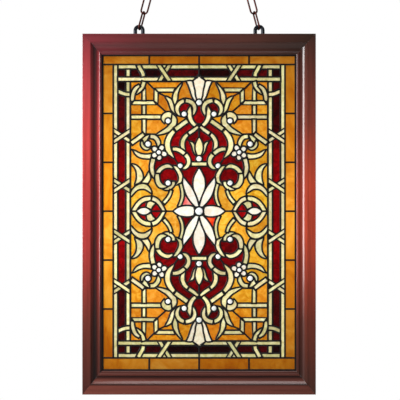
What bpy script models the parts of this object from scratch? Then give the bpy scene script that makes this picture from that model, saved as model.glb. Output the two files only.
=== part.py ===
"""A leaded glass window panel in a moulded wooden frame, hung by two short chains.

X runs to the right, Y from the front to the back and Z up. The origin is midway between the
undersides of the two hooks' upper bends, where the panel hangs. Sizes are in metres and angles in degrees.
The leading follows a drawing on squared paper, whose squares are fitted to the glass.
"""
import math

import bmesh
import bpy
from mathutils import Matrix, Vector
from mathutils.geometry import delaunay_2d_cdt

# The wooden frame
FRAME_WIDTH = 0.524
FRAME_HEIGHT = 0.810
STILE_WIDTH = 0.0435
TOP_RAIL_WIDTH = 0.0465
BOTTOM_RAIL_WIDTH = 0.0525
FRONT_DEPTH = 0.015
BACK_DEPTH = 0.0105
STEP_DROP = 0.0012
HOLLOW_FOOT = 0.0046
BEAD_CREST = 0.0075
EDGE_EASE = 0.001
FACE_SHARE = 0.43
HOLLOW_SHARE = 0.77
BEAD_SHARE = 0.83
CURVE_CUTS = 4

# The glass, the leading and how they sit in the frame
GLASS_THICKNESS = 0.003
GLASS_BITE = 0.006
GLASS_LIFT = 0.0035
GROOVE_SPARE = 0.0015
LEAD_WIDTH = 0.0039
LEAD_PROUD = 0.001
CAME_SHOW = 0.0036
GAP = 0.0003
CUTTER_SPARE = 0.002

# The squared drawing: half its size, and where its straight lines run
SQUARES_ACROSS = 99.8
SQUARES_UP = 160.7
BORDER_X = 85.9
BORDER_Z = 146.75
FIELD_X = 68.9
FIELD_Z = 129.9
CENTRE_GEM = 3.6
TILES_ACROSS = 4
TILES_UP = 6

# The eyelets
EYELET_SPACING = 0.270
EYELET_RADIUS = 0.0085
EYELET_WIRE = 0.0085
EYELET_RISE = 0.0087
LEG_DEPTH = 0.016

# The chains and hooks
LINK_LENGTH = 0.045
LINK_WIDTH = 0.0195
CHAIN_WIRE = 0.004
CHAIN_LEAN = 15.0
CHAIN_TWIST = 18.0
LINKS = 3
HOOK_RADIUS = 0.0065
HOOK_LENGTH = 0.034

# Sizes that follow from them
OPENING_WIDTH = FRAME_WIDTH - 2 * STILE_WIDTH
OPENING_HEIGHT = FRAME_HEIGHT - TOP_RAIL_WIDTH - BOTTOM_RAIL_WIDTH
PANEL_WIDTH = OPENING_WIDTH + 2 * GLASS_BITE
PANEL_HEIGHT = OPENING_HEIGHT + 2 * GLASS_BITE
SQUARE_X = PANEL_WIDTH / 2 / SQUARES_ACROSS
SQUARE_Z = PANEL_HEIGHT / 2 / SQUARES_UP
SQUARE = (SQUARE_X + SQUARE_Z) / 2
LEAD = LEAD_WIDTH / SQUARE
GLASS_FACE = GLASS_THICKNESS / 2
LEAD_FOOT = GLASS_FACE + GAP
LEAD_FACE = LEAD_FOOT + LEAD_PROUD
GROOVE_HALF = LEAD_FACE + GAP

# Heights, from the hooks down
LEAN = math.radians(CHAIN_LEAN)
LINK_PITCH = LINK_LENGTH - 2 * CHAIN_WIRE - GAP
FIRST_BEND = EYELET_RADIUS - EYELET_WIRE / 2 - CHAIN_WIRE / 2 - GAP
HOOK_FOOT = FIRST_BEND + LINKS * LINK_PITCH
HOOK_CENTRE = HOOK_FOOT + HOOK_LENGTH - CHAIN_WIRE - HOOK_RADIUS
EYELET_Z = CHAIN_WIRE / 2 - HOOK_RADIUS - HOOK_CENTRE * math.cos(LEAN)
FRAME_TOP = EYELET_Z - EYELET_RISE
FRAME_BOTTOM = FRAME_TOP - FRAME_HEIGHT
PANEL_Z = (FRAME_TOP - TOP_RAIL_WIDTH + FRAME_BOTTOM + BOTTOM_RAIL_WIDTH) / 2 + GLASS_LIFT

# How finely the drawing is followed, in squares
DRAWING_STEPS = 1
ROUND_SIDES = 6
OUTLINE_SLACK = 0.4
SMALLEST_PANE = 1.4


# The scene starts empty, with a collection for the panel and one for the cutters
for old in list(bpy.data.objects):
    bpy.data.objects.remove(old)
panel_set = bpy.data.collections.new("window_panel")
cutter_set = bpy.data.collections.new("cutters")
for group in (panel_set, cutter_set):
    bpy.context.scene.collection.children.link(group)


def finish(name, colour, roughness, metallic):
    """A plain Principled material."""
    material = bpy.data.materials.new(name)
    material.use_nodes = True
    shader = material.node_tree.nodes["Principled BSDF"]
    shader.inputs["Base Color"].default_value = (*colour, 1)
    shader.inputs["Roughness"].default_value = roughness
    shader.inputs["Metallic"].default_value = metallic
    return material


wood = finish("reddish_wood", (0.16, 0.045, 0.03), 0.3, 0)
amber = finish("amber_glass", (0.80, 0.34, 0.04), 0.2, 0)
ruby = finish("ruby_glass", (0.16, 0.0, 0.01), 0.2, 0)
cream = finish("cream_glass", (0.86, 0.78, 0.52), 0.2, 0)
white = finish("white_glass", (0.92, 0.88, 0.84), 0.2, 0)
leading = finish("dark_lead", (0.03, 0.025, 0.025), 0.45, 0.8)
bronze = finish("dark_bronze", (0.10, 0.05, 0.035), 0.4, 0.9)
black_steel = finish("black_steel", (0.02, 0.02, 0.022), 0.3, 0.8)


def keep(name, mesh_or_curve, material, group=panel_set):
    """A named object in its collection."""
    made = bpy.data.objects.new(name, mesh_or_curve)
    made.data.materials.append(material)
    group.objects.link(made)
    return made


def mesh_from(name, bm):
    """A mesh of what the bmesh holds, its faces turned outwards."""
    bmesh.ops.recalc_face_normals(bm, faces=bm.faces)
    mesh = bpy.data.meshes.new(name)
    bm.to_mesh(mesh)
    bm.free()
    return mesh


# Lines and outlines on the squared drawing
def smooth(points, steps=DRAWING_STEPS):
    """A smooth line through the points."""
    line = [Vector(p) for p in points]
    if len(line) < 3:
        return line
    ends = [2 * line[0] - line[1]] + line + [2 * line[-1] - line[-2]]
    out = []
    for a, b, c, d in zip(ends, ends[1:], ends[2:], ends[3:]):
        for i in range(steps):
            t = i / steps
            out.append(b + ((c - a) * t + (2 * a - 5 * b + 4 * c - d) * t ** 2
                            + (3 * b - a - 3 * c + d) * t ** 3) / 2)
    out.append(line[-1])
    return out


def area(outline):
    """The area of an outline, above zero when it runs anticlockwise."""
    turns = zip(outline, outline[1:] + outline[:1])
    return sum(a.x * b.y - b.x * a.y for a, b in turns) / 2


def tidy(outline):
    """The outline anticlockwise, with no doubled points."""
    clean = []
    for p in outline:
        if not clean or (p - clean[-1]).length > 0.05:
            clean.append(p)
    if (clean[0] - clean[-1]).length < 0.05:
        clean.pop()
    return clean if area(clean) > 0 else clean[::-1]


def leaf(side_a, side_b):
    """Glass between two smooth sides that start at one point."""
    return tidy(smooth(side_a) + smooth(side_b)[::-1])


def strap(points, widths):
    """A strip of glass along a smooth line, with its width at each point."""
    line = smooth(points)
    spread = smooth([(w, 0) for w in widths])
    left, right = [], []
    for i, p in enumerate(line):
        along = (line[min(i + 1, len(line) - 1)] - line[max(i - 1, 0)]).normalized()
        across = Vector((-along.y, along.x)) * spread[i].x / 2
        left.append(p + across)
        right.append(p - across)
    return tidy(left + right[::-1])


def slant(start, end, half):
    """A straight strip whose two ends are cut along the half-width given."""
    a, b, h = Vector(start), Vector(end), Vector(half)
    return tidy([a - h, a + h, b + h, b - h])


def pane(*corners):
    """Glass with straight sides."""
    return tidy([Vector(c) for c in corners])


def bar(x0, z0, x1, z1):
    """A square-ended strip."""
    return pane((x0, z0), (x1, z0), (x1, z1), (x0, z1))


def disc(x, z, radius):
    """A round piece."""
    turns = [math.tau * i / ROUND_SIDES for i in range(ROUND_SIDES)]
    return [Vector((x + radius * math.cos(t), z + radius * math.sin(t))) for t in turns]


def grow(outline, by, reach=1.6):
    """The outline moved outwards, its sharp tips held to some reach."""
    out = []
    for i, p in enumerate(outline):
        before = (p - outline[i - 1]).normalized()
        after = (outline[(i + 1) % len(outline)] - p).normalized()
        a = Vector((before.y, -before.x))
        b = Vector((after.y, -after.x))
        middle = (a + b).normalized() if (a + b).length > 1e-6 else a
        out.append(p + middle * by / max(middle.dot(a), 1 / reach))
    return out


# The drawing, one quarter of it, from the middle of the panel outwards and up
pieces = []


def glass(kind, outline):
    """Lay a piece of glass over what is drawn so far."""
    pieces.append((kind, outline, grow(outline, LEAD)))


def lead(*points):
    """Lay a lead line over what is drawn so far."""
    pieces.append(("lead", None, strap(points, [LEAD] * len(points))))


def draw_band():
    """The leads of the band round the field, and those that cross it."""
    lead((-1, BORDER_Z), (90, BORDER_Z))
    lead((BORDER_X, -1), (BORDER_X, 150))
    lead((-1, FIELD_Z), (FIELD_X, FIELD_Z))
    lead((FIELD_X, -1), (FIELD_X, FIELD_Z))
    lead((0, FIELD_Z), (0, BORDER_Z))
    lead((29.7, BORDER_Z), (39.3, FIELD_Z))
    lead((40.2, BORDER_Z), (29.8, FIELD_Z))
    for rise in (0, 49.6):
        lead((BORDER_X, 31.0 + rise), (FIELD_X, 20.3 + rise))
        lead((BORDER_X, 20.0 + rise), (FIELD_X, 30.8 + rise))
    lead((60.7, BORDER_Z), (57.3, 138.6), (55.8, FIELD_Z))
    lead((BORDER_X, 120.2), (FIELD_X, 116.8))


def draw_lattice():
    """The lattice in the upper corner of the field."""
    lead((52.9, FIELD_Z), (33.6, 114.9))
    lead((42, 107.1), (33.3, 99.5))
    lead((55, 107.1), (55, 75))
    glass("cream", bar(43.2, 107.1, FIELD_X - LEAD, 109.8))
    glass("cream", bar(38.6, 92.8, FIELD_X - LEAD, 95.7))
    lead((55, 76.7), (FIELD_X, 68))


def draw_tulip():
    """The large tulip at the head of the field, with its horns and ring."""
    lead((17.2, FIELD_Z), (24.4, 106.5))
    glass("cream", leaf([(33.6, 114.6), (29.2, 105.8), (22.3, 96.4)],
                        [(33.6, 114.6), (26.3, 107), (22.3, 96.4)]))
    lead((23, 96.2), (5, 95))
    glass("cream", strap([(14.2, 110.8), (22, 103.5), (19, 95.6)], [3, 3.4, 0]))
    glass("cream", strap([(13.2, 110.8), (4.8, 104), (6.4, 95.4)], [3, 3.4, 0]))
    glass("side_petal", leaf([(12.1, 129.7), (8.3, 120), (3.6, 110)],
                             [(12.1, 129.7), (6.1, 128), (3.3, 110.4)]))
    glass("tulip_petal", tidy(pane((0, 135.4), (5.4, 130.3))
                              + smooth([(5.4, 130.3), (3.3, 121), (1.6, 112.2)])
                              + pane((0, 111.4), (-1, 111.4), (-1, 134.6))[::-1]))
    lead((0, 108), (0, 112))


def draw_curls():
    """The long leaves below the lattice."""
    lead((0, 86.6), (0, 73))
    lead((25, 53.3), (21, 47.4))
    glass("cream", leaf([(26.7, 96.7), (23.2, 87.5), (42.6, 76.5)], [(26.7, 96.7), (30, 85.5), (42.6, 76.5)]))
    lead((5, 95), (24.3, 81.5))
    glass("cream", leaf([(26.3, 81.2), (33.9, 66), (25, 53.2)], [(24.3, 79), (29.4, 66), (25, 53.2)]))
    lead((0, 85.5), (12, 76.5), (15.5, 67), (14.2, 57))


def draw_bud():
    """The small tulip above the rosette, and the scroll that bends round it."""
    glass("cream", tidy(smooth([(0, 73.2), (3.4, 63), (1.2, 49)])
                        + [Vector((0, 48)), Vector((-1, 48)), Vector((-1, 72))]))
    glass("cream", strap([(26.3, 62.2), (14, 57), (10.4, 49.8), (17.2, 42.2)], [2.6, 3.4, 3.3, 0]))
    lead((0, 42), (0, 49))


def draw_flower():
    """The snail of glass, and the round flower."""
    lead((FIELD_X, 62.2), (64, 60))
    lead((50.5, 74), (55, 77), (42, 77))
    glass("cream", disc(51, 68, 6.2))
    glass("cream", strap([(65.8, 60.9), (57, 55.2), (48, 55)], [0, 3.4, 4.1]))
    glass("cream", disc(40.3, 58.9, 5.8))
    glass("cream", strap([(45.9, 52.1), (47.4, 43.5), (45, 33)], [3.6, 3.6, 0]))


def draw_roundel():
    """The ruby roundel in its broken ring."""
    glass("cream", strap([(41.9, 37.6), (36, 44), (26.9, 43.4)], [3.4, 3.4, 0.9]))
    glass("cream", strap([(41.9, 36.9), (40.4, 27.6), (33, 24.4)], [3, 4, 0.8]))
    glass("cream", strap([(26.5, 45.3), (18.8, 36), (22.8, 25.5), (33, 22.5)], [0, 3.4, 2.4, 0]))


def draw_side():
    """The leaves at the side, the pointed medallion and the leads beside the rosette."""
    lead((64, 46), (FIELD_X, 47.8))
    lead((47.6, 20), (47.4, 11))
    glass("cream", leaf([(66.9, 46.9), (57.2, 37.4), (63.8, 27.3)], [(66.9, 46.9), (62, 35), (63.8, 27.3)]))
    glass("cream", leaf([(68.2, 15), (57.5, 27), (47.8, 18.6)], [(68.2, 15), (56.5, 22.6), (47.8, 18.6)]))
    glass("cream", strap([(48.6, 12.6), (58, 10), (65.8, -0.5)], [3.5, 3.5, 3.4]))
    glass("cream", strap([(46.7, 12.6), (40, 8.1), (34.6, -0.5)], [3.3, 2.9, 1.9]))
    lead((FIELD_X, 0), (24, 0))
    glass("almond", tidy(smooth([(62.2, 0), (55.5, 3.1), (48.9, 0)]) + [Vector((55, -2))]))
    lead((19.5, 27), (16.9, 14), (20.5, 4))


def draw_rosette():
    """The rosette: an upright petal, a slanting one, a level one and the gem."""
    glass("upright_petal", tidy(smooth([(0, 42.4), (5.3, 29), (0.6, 10)])
                                + [Vector((-1, 9.6)), Vector((-1, 41.5))]))
    glass("slanting_petal", leaf([(15.6, 33.4), (14, 20), (3.9, 5.4)], [(15.6, 33.4), (6.6, 21), (1.9, 5.2)]))
    glass("level_petal", tidy(smooth([(25.3, 0), (14.6, 4.8), (5.9, 3.9)])
                              + [Vector((5, 0)), Vector((5, -1.5)), Vector((20, -1.5))]))
    glass("centre_gem", disc(0, 0, CENTRE_GEM))


for draw in (draw_band, draw_lattice, draw_tulip, draw_curls, draw_bud, draw_flower, draw_roundel,
             draw_side, draw_rosette):
    draw()


# From the drawing to panes
def loops_of(triangles):
    """The outlines round a patch of triangles, longest first."""
    onward = {}
    for a, b, c in triangles:
        for start, end in ((a, b), (b, c), (c, a)):
            if start in onward.get(end, ()):
                onward[end].remove(start)
            else:
                onward.setdefault(start, []).append(end)
    loops = []
    for first in sorted(onward):
        while onward[first]:
            loop = [first]
            spot = onward[first].pop()
            while spot != first:
                loop.append(spot)
                spot = onward[spot].pop()
            loops.append(loop)
    return sorted(loops, key=len, reverse=True)


def patches_of(triangles, labels):
    """Triangles that share sides and a label, gathered into patches."""
    beside = {}
    for i, triangle in enumerate(triangles):
        for k in range(3):
            side = frozenset((triangle[k], triangle[k - 1]))
            beside.setdefault(side, []).append(i)
    seen = set()
    patches = []
    for i in range(len(triangles)):
        if i in seen:
            continue
        seen.add(i)
        patch, edge = [], [i]
        while edge:
            j = edge.pop()
            patch.append(triangles[j])
            for k in range(3):
                side = frozenset((triangles[j][k], triangles[j][k - 1]))
                for other in beside[side]:
                    if other not in seen and labels[other] == labels[i]:
                        seen.add(other)
                        edge.append(other)
        patches.append((labels[i], patch))
    return patches


def arrange(outlines):
    """Points and triangles of the plane cut along the outlines, and which outlines cover each."""
    points, faces = [], []
    for outline in outlines:
        start = len(points)
        points.extend(outline)
        faces.append(list(range(start, len(points))))
    result = delaunay_2d_cdt(points, [], faces, 1, 1e-5, True)
    return result[0], [tuple(f) for f in result[2]], result[5]


def thin(outline, slack):
    """The outline without the points that hardly matter to it."""
    points = list(outline)
    while len(points) > 3:
        heights = []
        for i, p in enumerate(points):
            a, b = points[i - 1], points[(i + 1) % len(points)]
            base = max((b - a).length, 1e-9)
            heights.append(abs((b - a).x * (p - a).y - (b - a).y * (p - a).x) / base)
        low = min(heights)
        if low > slack:
            break
        points.pop(heights.index(low))
    return points


def cut_panes():
    """Every pane of the quarter: its kind and its outline between the leads."""
    quarter = bar(0, 0, BORDER_X, BORDER_Z)
    outlines = [quarter]
    meaning = [None]
    for k, (kind, seen, cover) in enumerate(pieces):
        if seen:
            outlines.append(seen)
            meaning.append((k, True))
        outlines.append(tidy(cover))
        meaning.append((k, False))
    points, triangles, covers = arrange(outlines)
    kept, labels = [], []
    for triangle, cover in zip(triangles, covers):
        if 0 not in cover:
            continue
        tops = [meaning[i] for i in cover if i]
        top = max((k for k, seen in tops if not seen), default=-1)
        if top >= 0 and (top, True) not in tops:
            continue
        kept.append(triangle)
        labels.append(top)
    panes = []
    for label, patch in patches_of(kept, labels):
        loop = [points[i] for i in loops_of(patch)[0]]
        edge = sum((a - b).length for a, b in zip(loop, loop[1:] + loop[:1]))
        if 2 * abs(area(loop)) / edge > SMALLEST_PANE:
            kind = pieces[label][0] if label >= 0 else "ground"
            panes.append((kind, thin(loop, OUTLINE_SLACK)))
    return panes


def mirrored(outline, across, up):
    """An outline of the first quarter, laid in another."""
    return tidy([Vector((p.x * across, p.y * up)) for p in outline])


QUARTERS = ((1, 1), (-1, 1), (-1, -1), (1, -1))
panes = cut_panes()


# Plates cut to outlines
def in_place(p):
    """A point of the drawing at its place in the panel, as X and Z."""
    return p.x * SQUARE_X, PANEL_Z + p.y * SQUARE_Z


def plate(name, outlines, holes, front, back, material):
    """A flat plate with the outlines' shape, less the holes."""
    points, triangles, covers = arrange(outlines + holes)
    count = len(outlines)
    kept = [t for t, cover in zip(triangles, covers)
            if cover and min(cover) < count
            and not any(count <= i < count + len(holes) for i in cover)]
    largest = max(patches_of(kept, [0] * len(kept)), key=lambda patch: len(patch[1]))[1]
    bm = bmesh.new()
    verts = {}
    for triangle in largest:
        for i in triangle:
            if i not in verts:
                x, z = in_place(points[i])
                verts[i] = bm.verts.new((x, front, z))
        bm.faces.new([verts[i] for i in triangle])
    bmesh.ops.dissolve_limit(bm, angle_limit=math.radians(1), verts=bm.verts, edges=bm.edges)
    moved = bmesh.ops.extrude_face_region(bm, geom=list(bm.faces))
    rear = [v for v in moved["geom"] if isinstance(v, bmesh.types.BMVert)]
    bmesh.ops.translate(bm, verts=rear, vec=(0, back - front, 0))
    return keep(name, mesh_from(name, bm), material)


# The leaded panel
def border_tiles():
    """The outlines of the border's tiles, between their leads."""
    half = LEAD / 2
    edge_x = (OPENING_WIDTH / 2 - CAME_SHOW) / SQUARE_X
    top = (OPENING_HEIGHT / 2 - GLASS_LIFT - CAME_SHOW) / SQUARE_Z
    bottom = -(OPENING_HEIGHT / 2 + GLASS_LIFT - CAME_SHOW) / SQUARE_Z
    tiles = []
    width = 2 * SQUARES_ACROSS / TILES_ACROSS
    for i in range(TILES_ACROSS):
        x0 = max(-SQUARES_ACROSS + i * width + half, -edge_x)
        x1 = min(-SQUARES_ACROSS + (i + 1) * width - half, edge_x)
        tiles.append(bar(x0, BORDER_Z + half, x1, top))
        tiles.append(bar(x0, bottom, x1, -BORDER_Z - half))
    height = 2 * BORDER_Z / TILES_UP
    for i in range(TILES_UP):
        z0 = -BORDER_Z + i * height + half
        z1 = z0 + height - LEAD
        tiles.append(bar(-edge_x, z0, -BORDER_X - half, z1))
        tiles.append(bar(BORDER_X + half, z0, edge_x, z1))
    return tiles


OVERLAP = 0.36 * LEAD
tiles = border_tiles()
for i, tile in enumerate(tiles):
    plate(f"border_tile_{i + 1:02d}", [grow(tile, OVERLAP)], [], -GLASS_FACE, GLASS_FACE, amber)

# Pieces of the tulips and the rosette that are solids of their own
heroes = []
for across, up in QUARTERS:
    side = "right" if across > 0 else "left"
    level = "upper" if up > 0 else "lower"
    for kind, outline in panes:
        moved = grow(mirrored(outline, across, up), OVERLAP)
        if kind == "slanting_petal":
            heroes.append((f"rosette_petal_{level}_{side}", [moved]))
        if kind == "side_petal":
            heroes.append((f"tulip_side_{level}_{side}", [moved]))


def both_halves(kind, quarters):
    """A piece that lies over an axis of the drawing, from its mirrored halves."""
    return [grow(mirrored(outline, *quarter), OVERLAP) for name, outline in panes if name == kind
            for quarter in quarters]


heroes.append(("rosette_petal_upper", both_halves("upright_petal", QUARTERS[:2])))
heroes.append(("rosette_petal_lower", both_halves("upright_petal", QUARTERS[2:])))
heroes.append(("rosette_petal_right", both_halves("level_petal", (QUARTERS[0], QUARTERS[3]))))
heroes.append(("rosette_petal_left", both_halves("level_petal", QUARTERS[1:3])))
heroes.append(("tulip_petal_upper", both_halves("tulip_petal", QUARTERS[:2])))
heroes.append(("tulip_petal_lower", both_halves("tulip_petal", QUARTERS[2:])))
heroes.append(("almond_right", both_halves("almond", (QUARTERS[0], QUARTERS[3]))))
heroes.append(("almond_left", both_halves("almond", QUARTERS[1:3])))
for name, outlines in heroes:
    plate(name, outlines, [], -GLASS_FACE, GLASS_FACE, white)

centre = [grow(disc(0, 0, CENTRE_GEM), OVERLAP)]
plate("rosette_gem", centre, [], -GLASS_FACE, GLASS_FACE, white)
hero_holes = [grow(outline, 0.5 * LEAD) for name, outlines in heroes for outline in outlines]
hero_holes.append(grow(centre[0], 0.5 * LEAD))

# The rest of the glass, fused into the sheets that it makes up
seam = 0.1 * LEAD
field = bar(-FIELD_X + seam, -FIELD_Z + seam, FIELD_X - seam, FIELD_Z - seam)
plate("field_glass", [field], hero_holes, -GLASS_FACE, GLASS_FACE, cream)
for name, up in (("upper", 1), ("lower", -1)):
    strip = mirrored(bar(-BORDER_X + seam, FIELD_Z + seam, BORDER_X - seam, BORDER_Z - seam), 1, up)
    plate(f"band_glass_{name}", [strip], hero_holes, -GLASS_FACE, GLASS_FACE, ruby)
for name, across in (("right", 1), ("left", -1)):
    strip = mirrored(bar(FIELD_X + seam, -FIELD_Z + seam, BORDER_X - seam, FIELD_Z - seam), across, 1)
    plate(f"band_glass_{name}", [strip], [], -GLASS_FACE, GLASS_FACE, ruby)

# The leading on the front follows every pane; on the back it is plainer
whole = bar(-SQUARES_ACROSS, -SQUARES_UP, SQUARES_ACROSS, SQUARES_UP)
openings = [mirrored(outline, *quarter) for kind, outline in panes for quarter in QUARTERS]
plate("leading_front", [whole], tiles + openings, -LEAD_FACE, -LEAD_FOOT, leading)
half = LEAD / 2
back_openings = [bar(-FIELD_X + half, -FIELD_Z + half, FIELD_X - half, FIELD_Z - half)]
for up in (1, -1):
    back_openings.append(mirrored(bar(-BORDER_X + half, FIELD_Z + half, BORDER_X - half, BORDER_Z - half),
                                  1, up))
for across in (1, -1):
    back_openings.append(mirrored(bar(FIELD_X + half, half - FIELD_Z, BORDER_X - half, FIELD_Z - half),
                                  across, 1))
plate("leading_back", [whole], tiles + back_openings, LEAD_FOOT, LEAD_FACE, leading)


# The frame's four mitred lengths of moulding
def moulding(width, groove):
    """The section of a length: distance from its outer edge, and Y."""
    face = FACE_SHARE * width
    foot = HOLLOW_SHARE * width
    bead = BEAD_SHARE * width
    points = [(0, BACK_DEPTH), (0, EDGE_EASE - FRONT_DEPTH), (EDGE_EASE, -FRONT_DEPTH), (face, -FRONT_DEPTH)]
    top = STEP_DROP - FRONT_DEPTH
    for i in range(CURVE_CUTS + 1):
        t = i / CURVE_CUTS
        points.append((face + (foot - face) * t, top - (HOLLOW_FOOT + top) * (1 - (1 - t) ** 2)))
    middle = (bead + width) / 2
    for i in range(CURVE_CUTS + 1):
        t = math.pi * i / CURVE_CUTS
        points.append((middle - (middle - bead) * math.cos(t),
                       -HOLLOW_FOOT - (BEAD_CREST - HOLLOW_FOOT) * math.sin(t)))
    points += [(width, -GROOVE_HALF), (width - groove, -GROOVE_HALF), (width - groove, GROOVE_HALF),
               (width, GROOVE_HALF), (width, BACK_DEPTH)]
    return points


def frame_member(name, length, width, groove, left_width, right_width):
    """One length of moulding, mitred to its neighbours' widths, outer edge up and centred on X."""
    bm = bmesh.new()
    section = [bm.verts.new((-length / 2, y, -s)) for s, y in moulding(width, groove)]
    face = bm.faces.new(section)
    moved = bmesh.ops.extrude_face_region(bm, geom=[face])
    far = [v for v in moved["geom"] if isinstance(v, bmesh.types.BMVert)]
    bmesh.ops.translate(bm, verts=far, vec=(length, 0, 0))
    for vert in bm.verts:
        share = -vert.co.z / width
        if vert.co.x > 0:
            vert.co.x -= share * right_width + GAP / 2
        else:
            vert.co.x += share * left_width + GAP / 2
    return keep(name, mesh_from(name, bm), wood)


side_groove = GLASS_BITE + GROOVE_SPARE
top_rail = frame_member("frame_top", FRAME_WIDTH, TOP_RAIL_WIDTH, GLASS_BITE + GLASS_LIFT + GROOVE_SPARE,
                        STILE_WIDTH, STILE_WIDTH)
top_rail.location.z = FRAME_TOP
bottom_rail = frame_member("frame_bottom", FRAME_WIDTH, BOTTOM_RAIL_WIDTH,
                           GLASS_BITE - GLASS_LIFT + GROOVE_SPARE, STILE_WIDTH, STILE_WIDTH)
bottom_rail.location.z = FRAME_BOTTOM
bottom_rail.rotation_euler.y = math.pi
frame_middle = (FRAME_TOP + FRAME_BOTTOM) / 2
right_stile = frame_member("frame_right", FRAME_HEIGHT, STILE_WIDTH, side_groove,
                           TOP_RAIL_WIDTH, BOTTOM_RAIL_WIDTH)
right_stile.location = (FRAME_WIDTH / 2, 0, frame_middle)
right_stile.rotation_euler.y = math.pi / 2
left_stile = frame_member("frame_left", FRAME_HEIGHT, STILE_WIDTH, side_groove,
                          BOTTOM_RAIL_WIDTH, TOP_RAIL_WIDTH)
left_stile.location = (-FRAME_WIDTH / 2, 0, frame_middle)
left_stile.rotation_euler.y = -math.pi / 2


# Eyelets: bent bars whose two legs go down into holes in the top rail
def cutter(name, radius, depth, sides, location):
    """A cylinder that another object is cut with."""
    bpy.ops.mesh.primitive_cylinder_add(vertices=sides, radius=radius, depth=depth, location=location)
    made = bpy.context.object
    made.name = name
    for group in list(made.users_collection):
        group.objects.unlink(made)
    cutter_set.objects.link(made)
    made.hide_render = True
    made.display_type = "WIRE"
    return made


def wire(name, points, width, closed, material):
    """A round wire along the points."""
    curve = bpy.data.curves.new(name, "CURVE")
    curve.dimensions = "3D"
    curve.bevel_depth = width / 2
    curve.bevel_resolution = 2
    curve.use_fill_caps = True
    spline = curve.splines.new("POLY")
    spline.points.add(len(points) - 1)
    for point, spot in zip(spline.points, points):
        point.co = (*spot, 1)
    spline.use_cyclic_u = closed
    spline.use_smooth = True
    return keep(name, curve, material)


def eyelet(name, x):
    """An arch on two legs, each down in its hole."""
    foot = FRAME_TOP - LEG_DEPTH
    points = [Vector((x + EYELET_RADIUS, 0, foot))]
    for i in range(13):
        t = math.pi * i / 12
        points.append(Vector((x + EYELET_RADIUS * math.cos(t), 0, EYELET_Z + EYELET_RADIUS * math.sin(t))))
    points.append(Vector((x - EYELET_RADIUS, 0, foot)))
    wire(name, points, EYELET_WIRE, False, black_steel)
    for leg, sign in (("left_leg", -1), ("right_leg", 1)):
        depth = LEG_DEPTH + GAP + CUTTER_SPARE
        hole = cutter(f"{name}_{leg}_hole", (EYELET_WIRE / 2 + GAP) / math.cos(math.pi / 12), depth, 12,
                      (x + sign * EYELET_RADIUS, 0, FRAME_TOP + CUTTER_SPARE - depth / 2))
        modifier = top_rail.modifiers.new(hole.name, "BOOLEAN")
        modifier.object = hole
        modifier.operation = "DIFFERENCE"


# Chains and hooks
def link_points(foot, along, across):
    """The middle line of an oval link whose lower bend starts at foot."""
    bend = (LINK_WIDTH - CHAIN_WIRE) / 2
    reach = LINK_LENGTH - CHAIN_WIRE - 2 * bend
    points = []
    for end in (0, 1):
        for i in range(5):
            t = math.pi * (end + i / 4)
            up = bend - bend * math.sin(t) + reach * end
            points.append(foot + along * up - across * bend * math.cos(t))
    return points


def hook_points(foot, along, across):
    """The middle line of an S hook from its lower bend to its upper."""
    points = []
    reach = HOOK_LENGTH - CHAIN_WIRE - 2 * HOOK_RADIUS
    for end, start, turn in ((0, 200, 150), (1, 170, -180)):
        for i in range(7):
            t = math.radians(start + turn * i / 6)
            spot = foot + along * (HOOK_RADIUS + reach * end + HOOK_RADIUS * math.sin(t))
            points.append(spot + across * HOOK_RADIUS * math.cos(t))
    return points


for side, sign in (("left", -1), ("right", 1)):
    x = sign * EYELET_SPACING / 2
    eyelet(f"eyelet_{side}", x)
    along = Vector((-sign * math.sin(LEAN), 0, math.cos(LEAN)))
    across = Vector((math.cos(LEAN), 0, sign * math.sin(LEAN)))
    eye = Vector((x, 0, EYELET_Z))
    twist = [Matrix.Rotation(math.radians(turn + sign * CHAIN_TWIST), 3, along) for turn in (90, 0)]
    for i in range(LINKS):
        foot = eye + along * (FIRST_BEND + i * LINK_PITCH)
        wire(f"chain_link_{side}_{i + 1}", link_points(foot, along, twist[i % 2] @ across), CHAIN_WIRE, True,
             bronze)
    wire(f"hook_{side}", hook_points(eye + along * HOOK_FOOT, along, sign * across), CHAIN_WIRE, False,
         bronze)
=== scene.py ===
"""A leaded glass window panel in a moulded wooden frame, hung by two short chains.

Metres. X runs to the right, Y from the front to the back and Z up. The leading follows a drawing
of one quarter of the panel on squared paper, which is turned over for the other three.
"""
import math
import random

import bmesh
import bpy
from mathutils import Matrix, Vector
from mathutils.geometry import delaunay_2d_cdt
from mathutils.kdtree import KDTree


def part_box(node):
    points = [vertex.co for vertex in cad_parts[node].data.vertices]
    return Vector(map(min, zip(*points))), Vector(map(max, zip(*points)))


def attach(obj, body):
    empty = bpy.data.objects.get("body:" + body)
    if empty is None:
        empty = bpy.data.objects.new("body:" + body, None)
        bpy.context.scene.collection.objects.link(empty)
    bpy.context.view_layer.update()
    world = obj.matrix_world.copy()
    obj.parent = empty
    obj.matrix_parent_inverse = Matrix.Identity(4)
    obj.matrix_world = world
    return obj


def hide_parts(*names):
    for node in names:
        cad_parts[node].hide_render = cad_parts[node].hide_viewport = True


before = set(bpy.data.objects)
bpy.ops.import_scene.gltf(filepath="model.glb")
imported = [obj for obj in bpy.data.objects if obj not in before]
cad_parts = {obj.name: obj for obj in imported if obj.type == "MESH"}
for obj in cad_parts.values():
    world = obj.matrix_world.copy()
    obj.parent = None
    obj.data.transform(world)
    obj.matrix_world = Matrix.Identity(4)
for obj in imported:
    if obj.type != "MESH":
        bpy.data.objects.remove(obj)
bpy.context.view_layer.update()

# The frame is four lengths of reddish moulding with a satin lacquer, mitred at the corners. From
# its outer edge the front has a flat, a small step, a long hollow and a bead, and the leaded panel
# sits in a groove behind the bead. Painted shade darkens the hollow, the step and the bead's inner side.
MITRE_GAP = 0.0003
STEP_DROP = 0.0012
HOLLOW_FOOT = -0.0046
BEAD_CREST = -0.0075
ARRIS = 0.0009
STEP_EASE = 0.0003
FACE_SHARE = 0.43
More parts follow.
